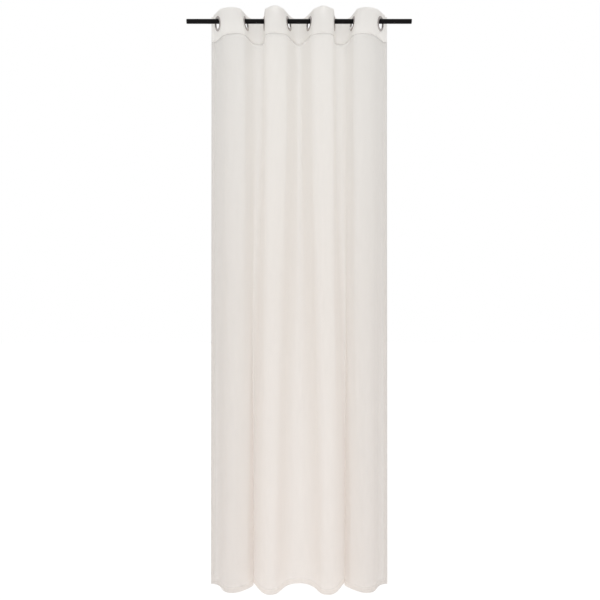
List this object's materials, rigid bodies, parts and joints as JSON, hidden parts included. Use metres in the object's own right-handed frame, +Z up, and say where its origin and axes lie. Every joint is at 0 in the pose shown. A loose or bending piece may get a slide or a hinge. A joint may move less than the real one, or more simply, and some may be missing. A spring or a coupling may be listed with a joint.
{
  "type": "voile curtain on a rod",
  "caption": "Sheer off-white eyelet curtain panel hanging in soft vertical folds from a plain round black rod.",
  "frame": {"origin": "middle of the rod's axis, where the rod is held", "axes": "+Z up along the drop, +X along the rod to the right as seen from the room, +Y from the room towards the window"},
  "size_m": [0.96, 0.1595, 2.4502],
  "materials": {
    "voile": "sheer plain weave",
    "heading_band": "doubled and stiffened plain weave",
    "eyelet": "satin nickel plate",
    "rod": "satin black powder coat"
  },
  "bodies": {
    "root": {"rod": "rod", "heading": "heading_band", "panel": "voile", "eyelet_1_front": "eyelet", "eyelet_1_back": "eyelet", "eyelet_2_front": "eyelet", "eyelet_2_back": "eyelet", "eyelet_3_front": "eyelet", "eyelet_3_back": "eyelet", "eyelet_4_front": "eyelet", "eyelet_4_back": "eyelet", "eyelet_5_front": "eyelet", "eyelet_5_back": "eyelet", "eyelet_6_front": "eyelet", "eyelet_6_back": "eyelet", "eyelet_7_front": "eyelet", "eyelet_7_back": "eyelet", "eyelet_8_front": "eyelet", "eyelet_8_back": "eyelet"}
  },
  "joints": []
}
